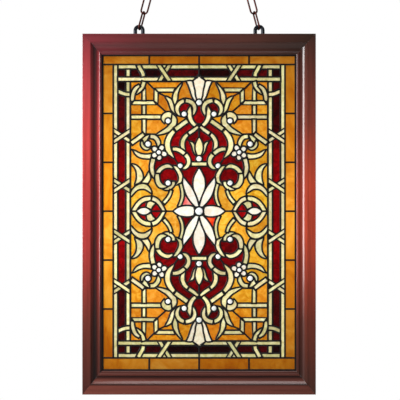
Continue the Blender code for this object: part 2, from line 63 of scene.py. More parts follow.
HOLLOW_SHARE = 0.77
BEAD_SHARE = 0.83
GROOVE_HALF = 0.0031
GROOVE_DEPTHS = {"frame_top": 0.011, "frame_bottom": 0.004, "frame_left": 0.0075, "frame_right": 0.0075}
CURVE_CUTS = 14
# The next two sizes bound the painted shade: where it starts on the bead's inner side, and how wide it is
# along the step.
BEAD_EDGE = 0.88
STEP_SHADE_WIDTH = 0.004

top_rail = [Vector(corner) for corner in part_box("frame_top")]
bottom_rail = [Vector(corner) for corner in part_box("frame_bottom")]
left_stile = [Vector(corner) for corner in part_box("frame_left")]
right_stile = [Vector(corner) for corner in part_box("frame_right")]
FRAME_LEFT = left_stile[0].x
FRAME_RIGHT = right_stile[1].x
FRAME_TOP = top_rail[1].z
FRAME_BOTTOM = bottom_rail[0].z
FRONT = top_rail[0].y
BACK = top_rail[1].y
TOP_WIDTH = top_rail[1].z - top_rail[0].z
BOTTOM_WIDTH = bottom_rail[1].z - bottom_rail[0].z
STILE_WIDTH = left_stile[1].x - left_stile[0].x
FRAME_MIDDLE = Vector(((FRAME_LEFT + FRAME_RIGHT) / 2, 0, (FRAME_TOP + FRAME_BOTTOM) / 2))


def paint(red, green, blue):
    """A colour from its everyday values of 0 to 255, as light."""
    return tuple((v / 255 / 12.92) if v < 10 else ((v / 255 + 0.055) / 1.055) ** 2.4
                 for v in (red, green, blue))


def plain_shader(name, roughness, metallic=0.0):
    """A material with its nodes, links, shader and a set of object coordinates."""
    material = bpy.data.materials.new(name)
    material.use_nodes = True
    nodes = material.node_tree.nodes
    links = material.node_tree.links
    shader = nodes["Principled BSDF"]
    shader.inputs["Roughness"].default_value = roughness
    shader.inputs["Metallic"].default_value = metallic
    place = nodes.new("ShaderNodeTexCoord").outputs["Object"]
    return material, nodes, links, shader, place


def noise(nodes, links, place, scale, size=1.0, detail=4.0, distortion=0.0, turn=0.0):
    """Noise on object coordinates, stretched by the scale of each axis."""
    mapping = nodes.new("ShaderNodeMapping")
    mapping.inputs["Scale"].default_value = scale
    mapping.inputs["Rotation"].default_value = (0, turn, 0)
    links.new(place, mapping.inputs["Vector"])
    texture = nodes.new("ShaderNodeTexNoise")
    texture.inputs["Scale"].default_value = size
    texture.inputs["Detail"].default_value = detail
    texture.inputs["Distortion"].default_value = distortion
    links.new(mapping.outputs["Vector"], texture.inputs["Vector"])
    return texture.outputs["Fac"]


def ramp(nodes, links, factor, stops):
    """Colours along a factor, as pairs of place and colour."""
    blend = nodes.new("ShaderNodeValToRGB")
    while len(blend.color_ramp.elements) < len(stops):
        blend.color_ramp.elements.new(0.5)
    for element, (spot, colour) in zip(blend.color_ramp.elements, stops):
        element.position = spot
        element.color = (*colour, 1)
    links.new(factor, blend.inputs["Fac"])
    return blend.outputs["Color"]


def spread(nodes, links, factor, low, high, start=0.3, end=0.7):
    """A factor brought between two values."""
    change = nodes.new("ShaderNodeMapRange")
    change.inputs["From Min"].default_value = start
    change.inputs["From Max"].default_value = end
    change.inputs["To Min"].default_value = low
    change.inputs["To Max"].default_value = high
    links.new(factor, change.inputs["Value"])
    return change.outputs["Result"]


def bumps(nodes, links, shader, height, strength, distance):
    """Unevenness of the surface from a height."""
    bump = nodes.new("ShaderNodeBump")
    bump.inputs["Strength"].default_value = strength
    bump.inputs["Distance"].default_value = distance
    links.new(height, bump.inputs["Height"])
    links.new(bump.outputs["Normal"], shader.inputs["Normal"])


def multiply(nodes, links, colour, factor):
    """A colour darkened or lit by a factor."""
    mix = nodes.new("ShaderNodeMix")
    mix.data_type = "RGBA"
    mix.blend_type = "MULTIPLY"
    mix.inputs["Factor"].default_value = 1
    links.new(colour, mix.inputs["A"])
    links.new(factor, mix.inputs["B"])
    return mix.outputs["Result"]


def lacquered_wood(name, axis, low, high, tones, painted_shade_level, gloss):
    """Reddish wood under clear lacquer, with painted light and shade changing along it and painted shade in
    the hollow.
    """
    material, nodes, links, shader, place = plain_shader(name, 0.3)
    split = nodes.new("ShaderNodeSeparateXYZ")
    links.new(place, split.inputs["Vector"])
    # The colour ramp along the length is painted light and shade, following how the light falls on that
    # length.
    along = spread(nodes, links, split.outputs[axis], 0, 1, low, high)
    colour = ramp(nodes, links, along, [(spot, paint(*tone)) for spot, tone in tones])
    grain_scale = (5, 150, 150) if axis == "X" else (150, 150, 5)
    pore_scale = (12, 900, 900) if axis == "X" else (900, 900, 12)
    grain = noise(nodes, links, place, grain_scale, 1.0, 5, 0.6)
    colour = multiply(nodes, links, colour, spread(nodes, links, grain, 0.78, 1.16))
    # Painted shade: the colour is darkened where the mask is set, in the hollow, along the step and on the
    # bead's inner side.
    painted_shade_mask = nodes.new("ShaderNodeAttribute")
    painted_shade_mask.attribute_name = "painted_shade_mask"
    colour = multiply(nodes, links, colour, spread(nodes, links, painted_shade_mask.outputs["Fac"], 1, painted_shade_level, 0, 1))
    links.new(colour, shader.inputs["Base Color"])
    links.new(spread(nodes, links, grain, 0.26, 0.38), shader.inputs["Roughness"])
    bumps(nodes, links, shader, noise(nodes, links, place, pore_scale, 1.0, 3), 0.1, 0.0003)
    shader.inputs["Coat Weight"].default_value = gloss
    shader.inputs["Coat Roughness"].default_value = 0.14
    shader.inputs["Specular IOR Level"].default_value = 0.1
    return material


def moulding(width, groove):
    """The section of a length of moulding: distance from its outer edge, and Y.

    A point close behind each eased corner keeps its roundness off the flats.
    """
    face = FACE_SHARE * width
    foot = HOLLOW_SHARE * width
    bead = BEAD_SHARE * width
    step = FRONT + STEP_DROP
    points = [(0, BACK - ARRIS), (0, FRONT + ARRIS), (ARRIS * 0.3, FRONT + ARRIS * 0.3), (ARRIS, FRONT),
              (ARRIS * 1.5, FRONT), (face - STEP_SHADE_WIDTH, FRONT), (face - STEP_EASE, FRONT),
              (face, FRONT + STEP_EASE)]
    for i in range(CURVE_CUTS + 1):
        t = i / CURVE_CUTS
        points.append((face + (foot - face) * t, step + (HOLLOW_FOOT - step) * (1 - (1 - t) ** 2)))
    middle = (bead + width) / 2
    for i in range(CURVE_CUTS + 1):
        t = math.pi * i / CURVE_CUTS
        points.append((middle - (middle - bead) * math.cos(t),
                       HOLLOW_FOOT + (BEAD_CREST - HOLLOW_FOOT) * math.sin(t)))
    points += [(width, -GROOVE_HALF), (width - groove, -GROOVE_HALF), (width - groove, GROOVE_HALF),
               (width, GROOVE_HALF), (width, BACK - ARRIS), (width - ARRIS, BACK), (ARRIS, BACK)]
    return points


def made_of(name, bm, *materials):
    """An object of what the bmesh holds, smooth but for its sharp edges."""
    bmesh.ops.recalc_face_normals(bm, faces=bm.faces)
    mesh = bpy.data.meshes.new(name)
    bm.to_mesh(mesh)
    bm.free()
    for material in materials:
        mesh.materials.append(material)
    mesh.shade_smooth()
    mesh.set_sharp_from_angle(angle=math.radians(32))
    made = bpy.data.objects.new(name, mesh)
    bpy.context.scene.collection.objects.link(made)
    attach(made, "root")
    return made


def frame_length(node, length, width, turn, place, before, after, material, lean, rebate_shade, edge):
    """One mitred length of moulding in the place of its plain one.

    The painted shade is deepest in the hollow, further towards the bead the higher its lean is. The
    last two values are the painted shade's strength at the bead's inner side and along the step.
    """
    bm = bmesh.new()
    section = [bm.verts.new((-length / 2, y, -s)) for s, y in moulding(width, GROOVE_DEPTHS[node])]
    moved = bmesh.ops.extrude_face_region(bm, geom=[bm.faces.new(section)])
    far = [v for v in moved["geom"] if isinstance(v, bmesh.types.BMVert)]
    bmesh.ops.translate(bm, verts=far, vec=(length, 0, 0))
    painted_shade_mask = bm.verts.layers.float.new("painted_shade_mask")
    for vert in bm.verts:
        inward = -vert.co.z / width
        if vert.co.x < 0:
            vert.co.x += inward * before + MITRE_GAP / 2
        else:
            vert.co.x -= inward * after + MITRE_GAP / 2
        # The mask for the painted shade: deepest in the hollow, and also along the step and on the bead's
        # inner side.
        across = (inward - FACE_SHARE) / (BEAD_SHARE - FACE_SHARE)
        hollow = math.sin(math.pi * min(max(across, 0), 1) ** lean)
        step_shade_here = edge if abs(inward - FACE_SHARE) * width < STEP_SHADE_WIDTH / 2 else 0
        vert[painted_shade_mask] = max(hollow, step_shade_here, rebate_shade if inward > BEAD_EDGE else 0)
    bmesh.ops.rotate(bm, verts=bm.verts, matrix=Matrix.Rotation(math.radians(turn), 3, "Y"))
    bmesh.ops.translate(bm, verts=bm.verts, vec=place)
    made = made_of("moulding_" + node, bm, material)
    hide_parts(node)


# Each length has its own copy of the wood, painted lighter and darker along it as light falls on the frame:
# the stiles brightest part way up, the top rail darker towards the right.
top_wood = lacquered_wood("lacquered_wood_top", "X", FRAME_LEFT, FRAME_RIGHT,
                          [(0, (108, 39, 46)), (0.3, (84, 39, 37)), (0.65, (74, 41, 35)),
                           (1, (44, 28, 21))], 0.8, 0.35)
bottom_wood = lacquered_wood("lacquered_wood_bottom", "X", FRAME_LEFT, FRAME_RIGHT,
                             [(0, (101, 51, 42)), (1, (90, 46, 37))], 0.12, 0.55)
left_wood = lacquered_wood("lacquered_wood_left", "Z", FRAME_BOTTOM, FRAME_TOP,
                           [(0, (63, 29, 24)), (0.2, (98, 43, 34)), (0.45, (160, 50, 48)),
                            (0.7, (188, 63, 61)), (0.86, (168, 60, 63)), (1, (112, 40, 46))], 0.14, 0.7)
right_wood = lacquered_wood("lacquered_wood_right", "Z", FRAME_BOTTOM, FRAME_TOP,
                            [(0, (54, 29, 20)), (0.2, (93, 37, 24)), (0.45, (168, 60, 38)),
                             (0.58, (170, 60, 38)), (0.75, (117, 48, 35)), (1, (54, 32, 25))], 0.5, 0.8)
frame_across = FRAME_RIGHT - FRAME_LEFT
frame_up = FRAME_TOP - FRAME_BOTTOM
# How deep the painted shade is differs from length to length with the way the light falls on it.
frame_length("frame_top", frame_across, TOP_WIDTH, 0, (FRAME_MIDDLE.x, 0, FRAME_TOP),
             STILE_WIDTH, STILE_WIDTH, top_wood, 1.2, 0.9, 0.3)
frame_length("frame_bottom", frame_across, BOTTOM_WIDTH, 180, (FRAME_MIDDLE.x, 0, FRAME_BOTTOM),
             STILE_WIDTH, STILE_WIDTH, bottom_wood, 3.5, 0.5, 0.85)
frame_length("frame_right", frame_up, STILE_WIDTH, 90, (FRAME_RIGHT, 0, FRAME_MIDDLE.z),
             TOP_WIDTH, BOTTOM_WIDTH, right_wood, 3, 0.3, 0.3)
frame_length("frame_left", frame_up, STILE_WIDTH, -90, (FRAME_LEFT, 0, FRAME_MIDDLE.z),
             BOTTOM_WIDTH, TOP_WIDTH, left_wood, 1, 0.95, 0.3)

# The drawing on squared paper is what the glass is cut to. Each line here is one piece of glass or
# one lead of the upper right quarter, in squares from the middle of the panel; later ones lie over
# earlier ones, and what is left between them is the ground.
SQUARES_ACROSS = 99.8
BORDER_X = 85.9
BORDER_Z = 146.75
FIELD_X = 68.9
FIELD_Z = 129.9
LEAD_WIDTH = 0.0039
DRAWING_STEPS = 5
GEM_SIDES = 20
CENTRE_GEM = 3.6
SMALLEST_PANE = 0.8
OUTLINE_SLACK = 0.03

lead_box = [Vector(corner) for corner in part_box("leading_front")]
SQUARE = (lead_box[1].x - lead_box[0].x) / 2 / SQUARES_ACROSS
SQUARES_UP = (lead_box[1].z - lead_box[0].z) / 2 / SQUARE
PANEL_MIDDLE = (lead_box[0].z + lead_box[1].z) / 2
LEAD = LEAD_WIDTH / SQUARE
pieces = []
gems = []


def smooth(points, steps=DRAWING_STEPS):
    """A smooth line through the points."""
    line = [Vector(p) for p in points]
    if len(line) < 3:
        return line
    ends = [2 * line[0] - line[1]] + line + [2 * line[-1] - line[-2]]
    out = []
    for a, b, c, d in zip(ends, ends[1:], ends[2:], ends[3:]):
        for i in range(steps):
            t = i / steps
            out.append(b + ((c - a) * t + (2 * a - 5 * b + 4 * c - d) * t ** 2
                            + (3 * b - a - 3 * c + d) * t ** 3) / 2)
    out.append(line[-1])
    return out


def area(outline):
    """The area of an outline, above zero when it runs anticlockwise."""
    return sum(a.x * b.y - b.x * a.y for a, b in zip(outline, outline[1:] + outline[:1])) / 2


def tidy(outline, near=0.06):
    """The outline anticlockwise, with no doubled points."""
    clean = []
    for p in outline:
        if not clean or (p - clean[-1]).length > near:
            clean.append(p)
    if (clean[0] - clean[-1]).length < near:
        clean.pop()
    return clean if area(clean) > 0 else clean[::-1]


def leaf(side_a, side_b):
    """Glass between two smooth sides that start at one point."""
    return tidy(smooth(side_a) + smooth(side_b)[::-1])


def strap(points, widths):
    """A strip of glass along a smooth line, with its width at each point."""
    line = smooth(points)
    wide = smooth([(w, 0) for w in widths])
    left, right = [], []
    for i, p in enumerate(line):
        before = (p - line[i - 1]).normalized() if i else Vector((0, 0))
        after = (line[i + 1] - p).normalized() if i + 1 < len(line) else Vector((0, 0))
        along = (before + after).normalized()
        across = Vector((-along.y, along.x)) * max(wide[i].x, 0) / 2
        left.append(p + across)
        right.append(p - across)
    return tidy(left + right[::-1])


def slant(start, end, half):
    """A straight strip whose two ends are cut along the half-width given."""
    a, b, h = Vector(start), Vector(end), Vector(half)
    return tidy([a - h, a + h, b + h, b - h])


def pane(*corners):
    """Glass with straight sides."""
    return tidy([Vector(c) for c in corners])


def bar(x0, z0, x1, z1):
    """A square-ended strip."""
    return pane((x0, z0), (x1, z0), (x1, z1), (x0, z1))


def disc(x, z, radius, tall=None, turn=0.0):
    """A round or oval piece."""
    out = []
    for i in range(GEM_SIDES):
        t = math.tau * i / GEM_SIDES
        p = Vector((radius * math.cos(t), (tall or radius) * math.sin(t)))
        p.rotate(Matrix.Rotation(turn, 2))
        out.append(Vector((x, z)) + p)
    return out


def grow(outline, by, reach=1.5):
    """The outline moved outwards, its sharp tips held to some reach."""
    out = []
    for i, p in enumerate(outline):
        before = (p - outline[i - 1]).normalized()
        after = (outline[(i + 1) % len(outline)] - p).normalized()
        a = Vector((before.y, -before.x))
        b = Vector((after.y, -after.x))
        middle = (a + b).normalized() if (a + b).length > 1e-6 else a
        out.append(p + middle * by / max(middle.dot(a), 1 / reach))
    return out


def glass(kind, outline):
    """Lay a piece of glass over what is drawn so far."""
    pieces.append((kind, outline, tidy(grow(outline, LEAD))))


def lead(*points):
    """Lay a lead line over what is drawn so far."""
    pieces.append(("lead", None, strap(points, [LEAD] * len(points))))


def gem(x, z, radius):
    """Lay a round gem."""
    gems.append((x, z, radius))
    glass("gem", disc(x, z, radius))


# The band round the field: two straight straps, and straps that cross them
glass("cream", bar(-1, 142.9, 80.8, 145.9))
glass("cream", bar(69.6, -1, 72.6, 141.4))
glass("cream", strap([(80.9, 119.9), (76.5, 117.9), (73, 117), (69.6, 116.8)], [2.9] * 4))
glass("cream", bar(82.2, -1, 85.2, 146))
glass("cream", bar(-1, 130.6, 80.8, 133.5))
glass("cream", slant((29.7, 146), (39.3, 130.6), (1.6, 0)))
glass("cream", slant((40.2, 146), (29.8, 130.6), (1.75, 0)))
for rise in (0, 49.6):
    glass("cream", slant((85.2, 31.0 + rise), (69.6, 20.7 + rise), (0, 1.6)))
    glass("cream", slant((85.2, 20.0 + rise), (69.6, 30.5 + rise), (0, 1.6)))
glass("cream", strap([(60.7, 145.9), (58.4, 141.5), (56.4, 138), (55.9, 135.2)], [3] * 4))
lead((-1, BORDER_Z), (90, BORDER_Z))
lead((BORDER_X, -1), (BORDER_X, 150))
lead((-1, FIELD_Z), (FIELD_X, FIELD_Z))
lead((FIELD_X, -1), (FIELD_X, FIELD_Z))
lead((0, 134), (0, 148))

# The knot and the lattice in the upper corner
glass("cream", strap([(55.3, 129.2), (56.3, 125.6), (58.9, 121.5), (62.5, 117.2)], [3, 2.9, 2.4, 0]))
glass("cream", strap([(60.1, 125.5), (63.6, 122.6), (65.9, 118), (66.7, 113.5), (66.6, 110.6)],
                     [1.6, 2.8, 3, 2.8, 2.4]))
lead((52.9, 130), (45, 122), (41, 118.6), (33.6, 114.9))
lead((45.6, 108.8), (41, 106.2), (33.3, 99.5))
lead((53.9, 77.3), (42, 77))
glass("cream", pane((66.7, 107.1), (64.8, 109.8), (46.1, 109.8), (43.9, 107.1)))
glass("cream", pane((44.5, 110.8), (44.5, 121.2), (41.8, 118.8), (41.8, 108.6)))
glass("cream", pane((43.2, 122.7), (40.4, 119.9), (26.3, 119.9), (25, 122.7)))
glass("cream", pane((56.4, 111.3), (56.4, 119.3), (54, 122.2), (54, 111.3)))
glass("cream", bar(54, 97.1, 56.4, 105.4))
glass("cream", pane((67.6, 92.8), (67.6, 95.7), (38.1, 95.7), (39.2, 92.8)))
glass("cream", pane((56.3, 79.6), (56.3, 91.4), (53.8, 91.4), (53.8, 78)))
glass("cream", strap([(55.6, 76.7), (67.4, 68.3)], [3, 3]))

# The large tulip at the head of the field, with its horns and ring
glass("cream", leaf([(17.2, 128.2), (22.3, 122.2), (25.3, 117), (26, 112), (24.4, 106.5)],
                    [(17.2, 128.2), (20.2, 122.3), (21.8, 117), (22.3, 112), (24.4, 106.5)]))
glass("cream", leaf([(33.6, 114.6), (31, 110.5), (29.2, 105.8), (27.6, 101.6), (25, 98.6), (22.3, 96.4)],
                    [(33.6, 114.6), (30.6, 113.3), (28, 111.3), (26.3, 107), (24.9, 101.5), (22.3, 96.4)]))
lead((23, 96.2), (19, 95), (11, 94.6))
glass("cream", strap([(15.3, 110.4), (18.8, 108.6), (21.6, 105), (22.1, 101), (20.8, 97.8), (19, 95.6)],
                     [2.9, 3.2, 3.2, 2.9, 2, 0]))
glass("cream", strap([(13.3, 110.7), (9.3, 109.7), (5.8, 107.2), (4.4, 103.2), (5, 99.2), (6.4, 95.4)],
                     [3, 3.3, 3.3, 2.9, 2.2, 0]))
lead((4, 86.2), (0, 86.6), (0, 73))
glass("cream", strap([(8.9, 104.8), (9.7, 99.5), (9.5, 95), (8.2, 91.2), (6.3, 88.2), (3.9, 85.9)],
                     [0, 3.5, 3.6, 3.4, 3, 2.6]))
gem(14.9, 97.2, 2.3)
glass("side_petal", leaf([(12.1, 129.7), (9.9, 125), (8.3, 120), (6.4, 114.6), (3.6, 110)],
                         [(12.1, 129.7), (8.3, 129.9), (6.1, 128), (5.2, 122), (4.1, 115.6), (3.3, 110.4)]))
glass("tulip_petal", tidy(pane((0, 135.4), (5.4, 130.3))
                          + smooth([(5.4, 130.3), (4.6, 126), (3.3, 121), (2.8, 116), (1.6, 112.2)])
                          + [Vector((0, 111.4)), Vector((-1, 111.4)), Vector((-1, 134.6))]))
gem(0, 108.8, 2.5)

# The curl and the long leaf below the lattice, and the bent straps beside the ruby field
glass("cream", leaf([(26.7, 96.7), (23.6, 93.6), (22.8, 89.5), (24.4, 84.9), (28.6, 80.9), (35, 78),
                     (42.6, 76.5)],
                    [(26.7, 96.7), (27, 92.3), (28.8, 87.3), (32.4, 83.2), (37, 80), (42.6, 76.5)]))
glass("cream", leaf([(35.1, 88.8), (37.3, 92.5), (36.4, 96), (33.3, 98.4), (29.9, 98.9), (28, 97.8)],
                    [(35.1, 88.8), (34.3, 91.6), (32.8, 93.4), (31, 94.1), (28.5, 93.2)]))
gem(31, 90.3, 2.2)
glass("cream", strap([(12, 90.3), (23.5, 82)], [3.4, 3.4]))
lead((13, 72.5), (8.9, 69.6))
lead((14.1, 61), (13.6, 58.5))
lead((25, 53.3), (21, 47.4))
glass("straw", leaf([(26.3, 81.2), (31, 76.2), (33.6, 70.2), (33.9, 64.5), (31.4, 58.4), (25, 53.2)],
                    [(24.3, 79), (27.4, 74.2), (29.4, 68.5), (29, 62.5), (27.2, 57.8), (25, 53.2)]))
glass("cream", strap([(1.3, 84.4), (5.4, 81), (10.1, 77.9)], [1.8, 2.7, 2.7]))
glass("cream", leaf([(12.5, 77.7), (16, 74.4), (18.2, 69.6), (18, 64.4), (14.2, 61)],
                    [(11.1, 75.6), (13.3, 72.8), (14.9, 68.8), (14.9, 64.6), (14.2, 61)]))

# The small tulip above the rosette, and the scroll that bends round it
glass("cream", leaf([(9, 69.4), (6.4, 68.2), (4.9, 65.2), (4.7, 61), (3.2, 56.2)],
                    [(9, 69.4), (7, 65.6), (6.1, 62), (4.9, 58.8), (3.2, 56.2)]))
glass("straw", tidy(smooth([(0, 73.2), (1.6, 70.8), (3, 67), (3.4, 63), (2.6, 59.2), (1.2, 55.9)])
                    + [Vector((0, 55.4)), Vector((-1, 55.4)), Vector((-1, 72))]))
gem(0, 52.4, 2.5)
glass("cream", bar(-1, 45.8, 7.2, 48.6))
glass("cream", strap([(26.3, 62.2), (22.5, 62), (18.6, 60.4), (14.9, 57.6)], [2.6, 3.1, 3.3, 3]))
glass("cream", strap([(13.4, 56.4), (11.2, 53.4), (10.4, 49.8), (11.3, 46.3), (13.6, 43.7), (17.2, 42.2)],
                     [3.5, 3.3, 3.2, 3, 2.4, 0]))
gem(18.9, 45.4, 2.2)

# The snail of glass round a gem, and the little flower with five petals
lead((66.3, 60.9), (69, 62.3))
lead((57.2, 69.3), (59.3, 71.5))
lead((46.5, 64.6), (50, 63.6))
lead((51, 69.5), (49.9, 76.5))
glass("cream", strap([(48.6, 74.8), (44.8, 74.2), (41.9, 71.3), (40.7, 68), (41.2, 64.8)],
                     [3, 3.2, 3.2, 2.9, 0]))
glass("cream", leaf([(50.2, 76), (53.5, 74.7), (56.5, 72.2)], [(50.2, 76), (52, 72.4), (54.6, 68.2)]))
glass("cream", strap([(57.4, 69.4), (57, 66.3), (55, 63.6), (52.3, 62.7), (49.3, 63.3)],
                     [0.9, 1.9, 2, 1.9, 0]))
gem(51.1, 67.2, 2.4)
glass("cream", strap([(65.8, 60.9), (61.5, 57), (57, 55.2), (52.5, 54.7), (48, 55)],
                     [0, 2.6, 3.2, 3.4, 4.1]))
heart = Vector((40.3, 58.9))
for angle, size in ((38, 2.5), (122, 2.5), (197, 2.9), (266, 2.3), (327, 2.4)):
    turn = math.radians(angle)
    spot = heart + 5.1 * Vector((math.cos(turn), math.sin(turn)))
    glass("white", disc(spot.x, spot.y, size, 2.1, turn))
gem(heart.x, heart.y, 1.8)
glass("cream", strap([(45.9, 52.1), (46.9, 48), (47.4, 43.5), (46.6, 38.5), (45, 33)],
                     [3.6, 3.5, 3.4, 2.9, 0]))

# The ruby roundel in its broken ring
glass("cream", strap([(41.6, 38.1), (38.8, 41.8), (35, 44.3), (30.8, 45.1), (26.9, 43.4)],
                     [3.3, 3.3, 3.1, 3, 0.9]))
glass("cream", strap([(41.9, 36.9), (41.9, 33), (40.9, 28.8), (38, 25.3), (33, 24.4)],
                     [3, 3.7, 4, 3.6, 0.8]))
glass("cream", strap([(25.7, 45.3), (23.1, 43.3), (20.7, 40), (18.6, 35.3), (19.1, 30.3), (22.8, 26.6)],
                     [0, 2.2, 2.9, 3.1, 2.6, 0]))
glass("cream", strap([(25.7, 29.3), (26, 27), (28.2, 24.2), (31, 22.5), (35, 21.7)],
                     [2.2, 2.7, 2.6, 2.1, 0]))
gem(31, 28.2, 2.3)

# The leaves at the side, the pointed medallion and the straps beside the rosette
lead((66.5, 46.6), (69, 47.8))
lead((47.6, 19.5), (47.4, 11))
glass("cream", leaf([(66.9, 46.9), (62.6, 45.2), (59.3, 41.8), (57, 37.4), (56.8, 32.8), (59.4, 29.4),
                     (63.8, 27.3)],
                    [(66.9, 46.9), (64.2, 43.8), (62.5, 39.8), (62, 35), (62.6, 30.6), (63.8, 27.3)]))
glass("cream", leaf([(50.5, 38.9), (52, 35.6), (54.3, 32.2), (56.9, 29)],
                    [(50.5, 38.9), (49.4, 35.6), (49.4, 32.2), (51.4, 28.5)]))
glass("cream", leaf([(68.2, 15), (67.4, 19.6), (64.6, 23.4), (60.5, 26.2), (56, 27), (52, 25.6),
                     (49.3, 22.3), (47.8, 18.6)],
                    [(68.2, 15), (65.6, 18.2), (62, 21.4), (58, 22.6), (54, 22.3), (50.5, 20.3),
                     (47.8, 18.6)]))
glass("cream", strap([(48.6, 12.6), (54, 12), (59, 9.2), (62.7, 5), (65.8, -0.5)],
                     [3.5, 3.5, 3.3, 3.2, 3.4]))
glass("cream", strap([(46.7, 12.6), (43.2, 11.2), (40, 8.1), (37.2, 4), (34.6, -0.5)],
                     [3.3, 3.2, 2.9, 2.4, 1.9]))
glass("cream", leaf([(44.3, 7.7), (48.5, 9.5), (51.5, 8.2), (52.4, 4.4)],
                    [(44.3, 7.7), (46.7, 5.4), (48.2, 2.6)]))
lead((69, 0), (24, 0))
glass("almond", tidy(smooth([(62.2, 0), (58.8, 2.3), (55.5, 3.1), (52, 2.4), (48.9, 0)])
                     + [Vector((55, -2))]))
glass("cream", strap([(28, 20.4), (29.3, 16.6), (31.7, 12.5), (35.1, 8.5)], [1.6, 2, 2.2, 2.3]))
glass("cream", strap([(18.4, 26.9), (17.3, 22.5), (16.6, 17.5), (17.1, 12.5), (18.6, 8), (20.2, 5.3)],
                     [2.2, 1.9, 2, 2, 1.8, 1.3]))

# The rosette: an upright petal, a slanting one, a level one and the gem
glass("upright_petal", tidy(smooth([(0, 42.4), (1.7, 40), (3.4, 36.6), (4.9, 32.8), (5.5, 28), (5.2, 23.5),
                                    (4.1, 19.8), (2.4, 15), (0.6, 10)])
                            + [Vector((-1, 9.6)), Vector((-1, 41.5))]))
glass("slanting_petal", leaf([(15.6, 33.4), (15.8, 28), (14.6, 23), (12.3, 16.3), (8.2, 10), (3.6, 4.9)],
                             [(15.6, 33.4), (11.8, 28.6), (8, 23.5), (5.2, 18.2), (2.7, 12), (0.75, 5)]))
glass("level_petal", tidy(smooth([(25.3, 0), (20.5, 3.3), (14.6, 4.8), (9.5, 4.8), (5.9, 3.9)])
                          + [Vector((5, 0)), Vector((5, -1.5)), Vector((20, -1.5))]))
glass("centre_gem", disc(0, 0, CENTRE_GEM))

# The ground's colours, as the parts of the quarter where it isn't amber
GROUNDS = [
    ("beside_rosette", pane((15.7, 17), (17.5, 5), (4, 5))),
    ("ruby", pane((66, 0), (60, 9), (52, 12.5), (43, 12), (36, 0))),
    ("scarlet", pane((27, 61), (14, 60), (10.5, 50), (17, 44), (21, 46.5))),
    ("scarlet", pane((0, 108), (5, 107), (13, 110.5), (21, 106), (21.5, 99), (15, 96), (10.5, 94.5),
                     (11.5, 89.5), (23.5, 82), (26, 80), (31.5, 73), (31.8, 64), (29.5, 57.5), (36, 55.5),
                     (42, 53), (46.5, 50), (47.2, 43), (45, 34), (41.9, 33), (38, 25.3), (31, 23.3),
                     (27, 26), (22.5, 27), (18, 27.5), (16, 30), (8, 20), (0, 10))),
    ("band_ruby", pane((72.6, 0), (90, 0), (90, 66), (72.6, 66))),
    ("deep_ruby", pane((72.6, 0), (90, 0), (90, 150), (0, 150), (0, 132), (72.6, 132))),
]
ROSETTE_REDS = {(-1, 1): "rose", (1, 1): "ruby", (-1, -1): "scarlet", (1, -1): "vermilion"}
QUARTERS = ((1, 1), (-1, 1), (-1, -1), (1, -1))


def holds(outline, spot):
    """Whether a point lies inside an outline."""
    hit = False
    for a, b in zip(outline, outline[1:] + outline[:1]):
        if (a.y > spot.y) != (b.y > spot.y):
            if spot.x < a.x + (spot.y - a.y) * (b.x - a.x) / (b.y - a.y):
                hit = not hit
    return hit


def mirrored(outline, across, up):
    """An outline of the first quarter, laid in another."""
    return tidy([Vector((p.x * across, p.y * up)) for p in outline], 0.001)


def arrange(outlines, lines=()):
    """Points and triangles of the plane cut along the outlines, and which outlines cover each."""
    points, faces, edges = [], [], []
    for outline in outlines:
        start = len(points)
        points.extend(outline)
        faces.append(list(range(start, len(points))))
    for line in lines:
        start = len(points)
        points.extend(line)
        count = len(line)
        edges.extend((start + i, start + (i + 1) % count) for i in range(count))
    result = delaunay_2d_cdt(points, edges, faces, 0, 1e-5, True)
    return result[0], [tuple(f) for f in result[2]], result[5]


def patches_of(triangles, labels):
    """Triangles that share sides and a label, gathered into patches."""
    beside = {}
    for i, triangle in enumerate(triangles):
        for k in range(3):
            beside.setdefault(frozenset((triangle[k], triangle[k - 1])), []).append(i)
    seen = set()
    patches = []
    for i in range(len(triangles)):
        if i in seen:
            continue
        seen.add(i)
        patch, edge = [], [i]
        while edge:
            j = edge.pop()
            patch.append(triangles[j])
            for k in range(3):
                for other in beside[frozenset((triangles[j][k], triangles[j][k - 1]))]:
                    if other not in seen and labels[other] == labels[i]:
                        seen.add(other)
                        edge.append(other)
        patches.append((labels[i], patch))
    return patches


def loop_round(triangles):
    """The longest outline round a patch of triangles."""
    sides = {(t[k - 1], t[k]) for t in triangles for k in range(3)}
    onward = {}
    for start, end in sides:
        if (end, start) not in sides:
            onward.setdefault(start, []).append(end)
    longest = []
    for first in sorted(onward):
        while onward[first]:
            loop = [first]
            spot = onward[first].pop()
            while spot != first:
                loop.append(spot)
                spot = onward[spot].pop()
            longest = max(longest, loop, key=len)
    return longest


def straighten(outline, slack):
    """The outline without the points that hardly bend it."""
    out = []
    for i, p in enumerate(outline):
        a = out[-1] if out else outline[-1]
        b = outline[(i + 1) % len(outline)]
        base = max((b - a).length, 1e-9)
        if abs((b - a).x * (p - a).y - (b - a).y * (p - a).x) / base > slack:
            out.append(p)
    return out


